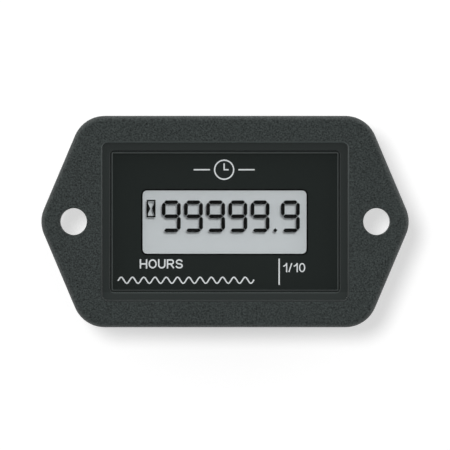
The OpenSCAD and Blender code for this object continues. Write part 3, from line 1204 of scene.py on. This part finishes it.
@dataclass
class LensAndMask:
    """Stepped clear lens and the black film with the window behind it."""

    lens_r: float = 0.6
    face_r: float = 0.35
    step_h: float = 0.2
    step_w: float = 0.2
    edge_r: float = 0.16
    window: Point = (27.5, 10.6)
    window_centre: Point = (-0.08, -0.09)
    window_r: float = 0.75
    air: float = 0.03
    steps: int = 4

    def build(self) -> None:
        """Builds the lens and the film, which keep no light from the display."""
        for piece in (self._lens(), self._mask()):
            piece.visible_shadow = piece.visible_diffuse = False

    def _lens(self) -> bpy.types.Object:
        """Builds the lens, a step lower round its raised face.

        Returns:
            The lens.
        """
        low, high = node_box("lens")
        size = full_size(high)
        face_size = grown(size, -2 * self.step_w)
        shoulder = high.z - self.step_h
        edge, half_edge = self.edge_r, self.edge_r / 2
        loft = Loft()
        foot, step_outer = loft.skin(
            rounded_rect(size, self.lens_r),
            [(0.0, low.z + self.air)]
            + arc((-half_edge, shoulder - half_edge), half_edge, 0, 90, self.steps),
        )
        step_inner, top = loft.skin(
            rounded_rect(face_size, self.face_r),
            [(0.0, shoulder)] + arc((-edge, high.z - edge), edge, 0, 90, self.steps),
        )
        loft.span(step_outer, step_inner)
        loft.fill(foot)
        loft.fill(top)
        # The lens's ground edge carries a painted highlight, and its step carries painted shade of
        # the gap round the lens
        finish = ClearSheet(
            "clear_lens",
            tint=(0.995, 0.997, 0.997),
            gloss=0.7,
            clear_size=grown(face_size, -2 * edge),
            step_size=face_size,
        )
        return add_piece("lens_plate", loft.mesh, finish, ["lens"])

    def _mask(self) -> bpy.types.Object:
        """Builds the film with its window.

        Returns:
            The film.
        """
        low, high = node_box("face_mask")
        wall = upright(low.z, high.z)
        loft = Loft()
        sheet = loft.skin(rounded_rect(full_size(high), self.lens_r), wall)
        opening = loft.skin(rounded_rect(self.window, self.window_r, self.window_centre), wall)
        for outer, inner in zip(sheet, opening):
            loft.fill(outer, inner)
        finish = PrintedFilm(
            "mask_print",
            ground=(0.018, 0.0225, 0.0212),
            line=(0.001, 0.001, 0.001),
            window=self.window,
            window_r=self.window_r,
            window_centre=self.window_centre,
        )
        return add_piece("mask_sheet", loft.mesh, finish, ["face_mask"])


@dataclass
class DisplayCell:
    """Polariser, two glasses, lit figures and the reflector behind them."""

    air: float = 0.015
    arris: float = 0.06
    figure_grow: float = 0.03
    figure_shift: Point = (0.08, -0.02)
    least_lean: float = 0.1
    most_lean: float = 0.9
    weld: float = 0.001

    def build(self, nodes: dict[str, bpy.types.Object]) -> None:
        """Builds the clear plates and the figures and dresses the rest.

        Args:
            nodes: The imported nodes.
        """
        self._plate("polariser_plate", "lcd_front_polariser", POLARISER_FILM)
        self._plate("front_glass_plate", "lcd_front_glass", DISPLAY_GLASS)
        self._plate("rear_glass_plate", "lcd_rear_glass", DISPLAY_GLASS)
        self._figures(nodes["lcd_segments"])
        dress(nodes, REFLECTOR_FILM, "lcd_reflector")
        dress(nodes, SEAL_RESIN, "lcd_seal")

    def _figures(self, node: bpy.types.Object) -> None:
        """Builds the lit figures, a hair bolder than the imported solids.

        Args:
            node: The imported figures.
        """
        mesh = bmesh.new()
        mesh.from_mesh(node.data)
        bmesh.ops.remove_doubles(mesh, verts=mesh.verts, dist=self.weld * MM)
        bmesh.ops.recalc_face_normals(mesh, faces=mesh.faces)
        mesh.normal_update()
        shift = Vector(self.figure_shift)
        for vert in mesh.verts:
            vert.co.xy += (self._bolder(vert.normal) + shift) * MM
        add_piece("figure_segments", mesh, SEGMENT_INK, ["lcd_segments"])

    def _bolder(self, normal: Vector) -> Vector:
        """Gives the move that makes a bar bolder and leaves its slanted ends in line.

        Args:
            normal: Direction that a corner faces.

        Returns:
            The move in millimetres, none at a tip or a square corner.
        """
        x, y = normal.xy.normalized()
        lean = abs(y) - abs(x)
        if not self.least_lean < abs(lean) < self.most_lean:
            return Vector((0.0, 0.0))
        step = math.copysign(self.figure_grow, lean)
        return Vector((-step * math.copysign(1.0, x), step * math.copysign(1.0, y)))

    def _plate(self, name: str, node: str, finish: Finish) -> None:
        """Builds a clear plate with ground edges.

        Args:
            name: Name of the piece.
            node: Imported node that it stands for.
            finish: Its finish.
        """
        low, high = node_box(node)
        arris = self.arris
        base, top = low.z + self.air, high.z - self.air
        loft = Loft()
        loft.closed(
            rounded_rect(full_size(high), arris),
            [(-arris, base), *upright(base + arris, top - arris), (-arris, top)],
        )
        add_piece(name, loft.mesh, finish, [node])


@dataclass(frozen=True)
class Glyph:
    """A plain letter, with strokes in a square of side 1."""

    width: float
    strokes: tuple[Sequence[Point], ...]


RING = (oval((0.5, 0.5), (0.5, 0.5), 0, 360),)
GLYPHS = {
    "H": Glyph(1.27, (((0, 0), (0, 1)), ((1, 0), (1, 1)), ((0, 0.5), (1, 0.5)))),
    "O": Glyph(1.38, RING),
    "U": Glyph(1.26, ([(0, 1), *oval((0.5, 0.36), (0.5, 0.36), 180, 360), (1, 1)],)),
    "R": Glyph(
        1.26,
        (
            ((0, 0), (0, 1)),
            [(0, 1), *oval((0.6, 0.74), (0.36, 0.26), 90, -90), (0, 0.48)],
            ((0.52, 0.48), (0.96, 0.02)),
        ),
    ),
    "S": Glyph(
        1.22,
        (
            oval((0.5, 0.75), (0.46, 0.25), 22, 270)
            + oval((0.5, 0.25), (0.5, 0.25), 90, -158)[1:],
        ),
    ),
    "1": Glyph(0.74, (((1, 0), (1, 1)), ((0.1, 0.68), (0.6, 0.8), (0.92, 0.97)))),
    "/": Glyph(0.62, (((0, 0.02), (1, 0.98)),)),
    "0": Glyph(1.05, RING),
}
LETTER_GAP = 0.2

# Shares of a stroke's width within which its ends meet and two corners are one
MEETING_SHARE = 0.01
WELD_SHARE = 0.001


class InkPrint:
    """Flat print whose strokes have one width and run together."""

    def __init__(self, width: float) -> None:
        """Starts an empty print."""
        self.width = width
        self.corners: list[Vector] = []
        self.patches: list[list[int]] = []

    def stroke(self, points: Sequence[Point]) -> None:
        """Adds a stroke, which is closed where it ends at its first point.

        Args:
            points: Points along the middle of the stroke.
        """
        path = [Vector(point) for point in points]
        meeting = self.width * MEETING_SHARE
        closed = len(path) > 2 and (path[0] - path[-1]).length < meeting
        if closed:
            path.pop()
        else:
            path[0] = path[0] + (path[0] - path[1]).normalized() * (self.width / 2)
            path[-1] = path[-1] + (path[-1] - path[-2]).normalized() * (self.width / 2)
        last = len(path) - 1
        sides = []
        for i, here in enumerate(path):
            before = path[i - 1] if closed or i > 0 else here
            after = path[(i + 1) % len(path)] if closed or i < last else here
            across = (after - before).normalized().orthogonal() * (self.width / 2)
            sides.append((here + across, here - across))
        following = sides[1:] + sides[:1] if closed else sides[1:]
        for (left, right), (next_left, next_right) in zip(sides, following):
            first = len(self.corners)
            self.corners += [right, next_right, next_left, left]
            self.patches.append([first, first + 1, first + 2, first + 3])

    def loft(self, z: float, height: float) -> Loft:
        """Joins the strokes and gives them a thickness.

        Args:
            z: Height of the underside.
            height: Thickness of the print.

        Returns:
            The loft, closed on all sides.
        """
        places, _, faces, _, _, sources = delaunay_2d_cdt(
            self.corners, [], self.patches, 0, self.width * WELD_SHARE
        )
        inked = [face for face, source in zip(faces, sources) if source]
        loft = Loft()
        low, high = loft.ring(places, z), loft.ring(places, z + height)
        edges = {(face[i - 1], face[i]) for face in inked for i in range(len(face))}
        for start, end in sorted(edges):
            if (end, start) not in edges:
                loft.mesh.faces.new((low[start], low[end], high[end], high[start]))
        for face in inked:
            loft.mesh.faces.new([high[i] for i in face])
            loft.mesh.faces.new([low[i] for i in reversed(face)])
        spare = [vert for vert in loft.mesh.verts if not vert.link_faces]
        bmesh.ops.delete(loft.mesh, geom=spare, context="VERTS")
        return loft


@dataclass
class FaceLegends:
    """Words, lines and plain signs printed on the back of the lens."""

    ink_h: float = 0.02
    ink_gap: float = 0.005
    hours_w: float = 0.245
    tenths_w: float = 0.2
    hours_low: Point = (-14.32, -7.88)
    hours_high: Point = (-7.08, -6.32)
    tenths_low: Point = (9.7, -8.5)
    tenths_high: Point = (13.46, -6.95)
    divider_x: float = 9.08
    divider_y: Point = (-10.62, -6.22)
    line_w: float = 0.225
    wave_x: Point = (-17.9, 4.8)
    wave_y: float = -9.85
    wave_h: float = 1.25
    wave_turns: int = 12
    turn_steps: int = 16
    clock_centre: Point = (-0.15, 8.7)
    clock_r: float = 1.6
    long_hand: float = 0.95
    short_hand: float = 0.65
    rule_x: Point = (2.5, 5.0)

    def build(self) -> None:
        """Builds the legends, one piece each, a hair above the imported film."""
        _, mask_high = node_box("face_mask")
        z = mask_high.z + self.ink_gap
        prints = {
            "legend_hours": self._word("HOURS", self.hours_w, self.hours_low, self.hours_high),
            "legend_tenths": self._word("1/10", self.tenths_w, self.tenths_low, self.tenths_high),
            "legend_divider": self._divider(),
            "legend_wave": self._wave(),
            "legend_clock": self._clock(),
        }
        for name, ink in prints.items():
            add_piece(name, ink.loft(z, self.ink_h).mesh, LEGEND_INK)

    @staticmethod
    def _word(text: str, line_w: float, low: Point, high: Point) -> InkPrint:
        """Draws a word in bold plain letters that fills a rectangle.

        Args:
            text: Word or number.
            line_w: Width of its strokes.
            low: Lower left corner of the rectangle.
            high: Upper right corner of the rectangle.

        Returns:
            The print.
        """
        glyphs = [GLYPHS[letter] for letter in text]
        natural = sum(glyph.width for glyph in glyphs) + LETTER_GAP * (len(glyphs) - 1)
        scale = (high[0] - low[0]) / natural
        ink = InkPrint(line_w)
        x, y = low[0] + line_w / 2, low[1] + line_w / 2
        height = high[1] - low[1] - line_w
        for glyph in glyphs:
            width = glyph.width * scale - line_w
            for stroke in glyph.strokes:
                ink.stroke([(x + right * width, y + up * height) for right, up in stroke])
            x += (glyph.width + LETTER_GAP) * scale
        return ink

    def _divider(self) -> InkPrint:
        """Draws the upright line before the tenths.

        Returns:
            The print.
        """
        low, high = self.divider_y
        cap = self.line_w / 2
        ink = InkPrint(self.line_w)
        ink.stroke([(self.divider_x, low + cap), (self.divider_x, high - cap)])
        return ink

    def _wave(self) -> InkPrint:
        """Draws the wave line, the plain sign of a vibration.

        Returns:
            The print.
        """
        start, end = self.wave_x
        height = (self.wave_h - self.line_w) / 2
        steps = self.turn_steps * self.wave_turns
        turn = 2 * math.pi / self.turn_steps
        ink = InkPrint(self.line_w)
        ink.stroke(
            [
                (start + (end - start) * i / steps, self.wave_y + height * math.sin(turn * i))
                for i in range(steps + 1)
            ]
        )
        return ink

    def _clock(self) -> InkPrint:
        """Draws a clock sign between two short rules.

        Returns:
            The print.
        """
        ink = InkPrint(self.line_w)
        x, y = self.clock_centre
        ink.stroke(oval(self.clock_centre, (self.clock_r, self.clock_r), 0, 360))
        ink.stroke([(x, y), (x, y + self.long_hand)])
        ink.stroke([(x, y), (x + self.short_hand, y)])
        for side in (-1, 1):
            ink.stroke([(x + side * reach, y) for reach in self.rule_x])
        return ink


@dataclass
class RearCover:
    """Plate with a round back edge, a rim that plugs into the box, and four posts."""

    thickness: float = 1.2
    edge_r: float = 0.6
    seam_r: float = 0.12
    corner_r: float = 2.0
    rim_size: Point = (33.3, 20.6)
    rim_wall: float = 1.0
    rim_h: float = 0.8
    rim_r: float = 0.5
    post_place: Point = (15.15, 8.8)
    post_d: float = 2.2
    edge_steps: int = 8
    seam_steps: int = 4

    def __post_init__(self) -> None:
        """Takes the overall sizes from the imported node."""
        self.low, self.high = node_box("rear_cover")
        self.front = self.low.z + self.thickness

    def build(self, finish: Finish) -> None:
        """Builds the cover.

        Args:
            finish: Finish of the moulding that it closes.
        """
        loft = Loft()
        edge, seam = self.edge_r, self.seam_r
        back, face = loft.skin(
            rounded_rect(full_size(self.high), self.corner_r),
            arc((-edge, self.low.z + edge), edge, -90, 0, self.edge_steps)
            + arc((-seam, self.front - seam), seam, 0, 90, self.seam_steps),
        )
        outer, inner = self._rim(loft)
        loft.fill(back)
        loft.fill(face, outer)
        loft.fill(inner)
        self._posts(loft)
        add_piece("rear_cover_plate", loft.mesh, finish, ["rear_cover"])

    def _rim(self, loft: Loft) -> tuple[Ring, Ring]:
        """Skins the rim that plugs into the box.

        Args:
            loft: Loft of the cover.

        Returns:
            Its outer and its inner ring on the plate.
        """
        wall = upright(self.front, self.front + self.rim_h)
        inside = grown(self.rim_size, -2 * self.rim_wall)
        outer, outer_top = loft.skin(rounded_rect(self.rim_size, self.rim_r), wall)
        inner, inner_top = loft.skin(rounded_rect(inside, self.rim_r), wall)
        loft.span(outer_top, inner_top)
        return outer, inner

    def _posts(self, loft: Loft) -> None:
        """Adds the posts that clamp the board, rooted in the plate.

        Args:
            loft: Loft of the cover.
        """
        x, y = self.post_place
        root = self.front - self.thickness / 2
        for centre in ((x, y), (-x, y), (-x, -y), (x, -y)):
            loft.closed(Circle(centre, self.post_d / 2), upright(root, self.high.z))


# The pieces inside


@dataclass
class InnerWorks:
    """Holder, board, cell and vibration switch inside the box."""

    nodes: dict[str, bpy.types.Object]

    def dress(self) -> None:
        """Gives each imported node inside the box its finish."""
        rows = (
            (HOLDER_PLASTIC, ("display_holder",)),
            (CONTACT_RUBBER, ("upper_contact_strip", "lower_contact_strip")),
            (BOARD_MASK, ("circuit_board",)),
            (CHIP_RESIN, ("controller_chip", "chip_resistors")),
            (TIN, ("controller_leads", "crystal_leads", "positive_tab", "negative_tab")),
            (NICKEL, ("crystal_can", "coin_cell")),
            (CAPACITOR_CERAMIC, ("chip_capacitors",)),
            (SLEEVE_PLASTIC, ("sensor_sleeve",)),
            (GOLD, ("sensor_cap_upper", "sensor_cap_lower", "vibration_ball")),
            (PAD_FOAM, ("cell_pad",)),
        )
        for finish, names in rows:
            dress(self.nodes, finish, *names)


# The studio


@dataclass(frozen=True)
class SoftLamp:
    """Round soft lamp that is aimed at the middle of the object, with its power in watts."""

    name: str
    tilt: float
    turn: float
    size: float
    power: float
    distance: float = 1200.0

    def hang(self, lit: Iterable[bpy.types.Object]) -> None:
        """Hangs the lamp.

        Args:
            lit: Objects that it lights.
        """
        data = bpy.data.lights.new(self.name, "AREA")
        data.shape = "DISK"
        data.size = self.size * MM
        data.energy = self.power
        lamp = put(self.name, data)
        tilt, turn = math.radians(self.tilt), math.radians(self.turn)
        aim = Vector(
            (math.sin(tilt) * math.cos(turn), math.sin(tilt) * math.sin(turn), math.cos(tilt))
        )
        lamp.location = aim * self.distance * MM
        lamp.rotation_euler = aim.to_track_quat("Z", "Y").to_euler()
        lamp.visible_glossy = False
        group = bpy.data.collections.new(f"{self.name}_lit")
        for piece in lit:
            group.objects.link(piece)
        lamp.light_linking.receiver_collection = group


@dataclass
class Studio:
    """Light table, soft lamps, pale surroundings and the camera."""

    frame_px: float = 450.0
    centre_px: Point = (225.04, 221.55)
    px_size: float = 0.16745
    lens: float = 400.0
    sensor: float = 36.0
    key_lamp: SoftLamp = SoftLamp("key_lamp", tilt=14.0, turn=140.0, size=320.0, power=7.4)
    display_lamp: SoftLamp = SoftLamp("display_lamp", tilt=24.0, turn=60.0, size=460.0, power=9.2)
    outer_pieces: tuple[str, ...] = ("housing_moulding", "lens_plate", "rear_cover_plate")
    table_top: TableTop = TableTop("light_table", glow=0.49, shade=0.665)
    table_size: float = 6000.0
    table_gap: float = 0.02
    # Height and brightness of each stop, from the horizon to overhead
    sky: tuple[Point, ...] = ((0.0, 1.0), (0.25, 0.8), (0.55, 0.24), (1.0, 0.09))
    side_light: float = 0.85
    far_light: float = 0.66
    clear_layers: int = 40

    def build(self, low: Vector, high: Vector) -> None:
        """Builds the studio round the object.

        Args:
            low: Lowest corner of the object, in millimetres.
            high: Highest corner of the object, in millimetres.
        """
        scene = bpy.context.scene
        scene.view_settings.view_transform = "Standard"
        scene.cycles.transparent_max_bounces = self.clear_layers
        pieces = [piece for piece in scene.objects if piece.type == "MESH"]
        outer = [piece for piece in pieces if piece.name in self.outer_pieces]
        self.display_lamp.hang(piece for piece in pieces if piece not in outer)
        self.key_lamp.hang([self._table(low.z), *outer])
        self._surroundings(scene)
        self._camera(scene, high.z)

    def _table(self, z: float) -> bpy.types.Object:
        """Builds the light table.

        Args:
            z: Height of the object's lowest point.

        Returns:
            The table.
        """
        loft = Loft()
        half = self.table_size / 2
        corners = [(-half, -half), (half, -half), (half, half), (-half, half)]
        loft.mesh.faces.new(loft.ring(corners, z - self.table_gap))
        table = put_mesh("light_table", loft.mesh, self.table_top)
        table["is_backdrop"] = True
        return table

    def _surroundings(self, scene: bpy.types.Scene) -> None:
        """Makes the surroundings, pale at the horizon and dim overhead.

        Args:
            scene: The scene.
        """
        world = bpy.data.worlds.new("studio")
        scene.world = world
        world.use_nodes = True
        bench = Bench(world.node_tree)
        x, y, z = bench.axes(bench.add("ShaderNodeTexCoord", {}, out="Generated"))
        stops = [(height, grey(level)) for height, level in self.sky]
        sky = bench.add("ShaderNodeValToRGB", {0: z.at_least(0.0)}, settings={"stops": stops})
        side = bench.spread(1.0 + self.side_light * abs(x) + self.far_light * y)
        light = bench.add("ShaderNodeBackground", {"Color": bench.vector("MULTIPLY", sky, side)})
        bench.add("ShaderNodeOutputWorld", {"Surface": light})

    def _camera(self, scene: bpy.types.Scene, face_z: float) -> None:
        """Sets the camera straight above the face.

        Args:
            scene: The scene.
            face_z: Height of the face, where a pixel has its known size.
        """
        data = bpy.data.cameras.new("camera")
        data.lens = self.lens
        data.sensor_width = self.sensor
        camera = put("camera", data)
        middle = self.frame_px / 2
        x = (middle - self.centre_px[0]) * self.px_size
        y = (self.centre_px[1] - middle) * self.px_size
        reach = self.frame_px * self.px_size * self.lens / self.sensor
        camera.location = Vector((x, y, face_z + reach)) * MM
        scene.camera = camera


def main() -> None:
    """Builds the meter and its studio in order."""
    logging.basicConfig(level=logging.INFO, format="%(message)s")
    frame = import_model()
    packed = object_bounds()
    nodes = frame["nodes"]
    mounts = {mount["name"]: mount for mount in frame["record"]["mounts"]}
    housing = FlangeHousing(mounts["flange_screws"]["dims"]["spacing_x_mm"])
    housing.build()
    LensAndMask().build()
    DisplayCell().build(nodes)
    FaceLegends().build()
    RearCover().build(housing.finish())
    InnerWorks(nodes).dress()
    Studio().build(packed[0] / MM, packed[1] / MM)


if __name__ == "__main__":
    main()
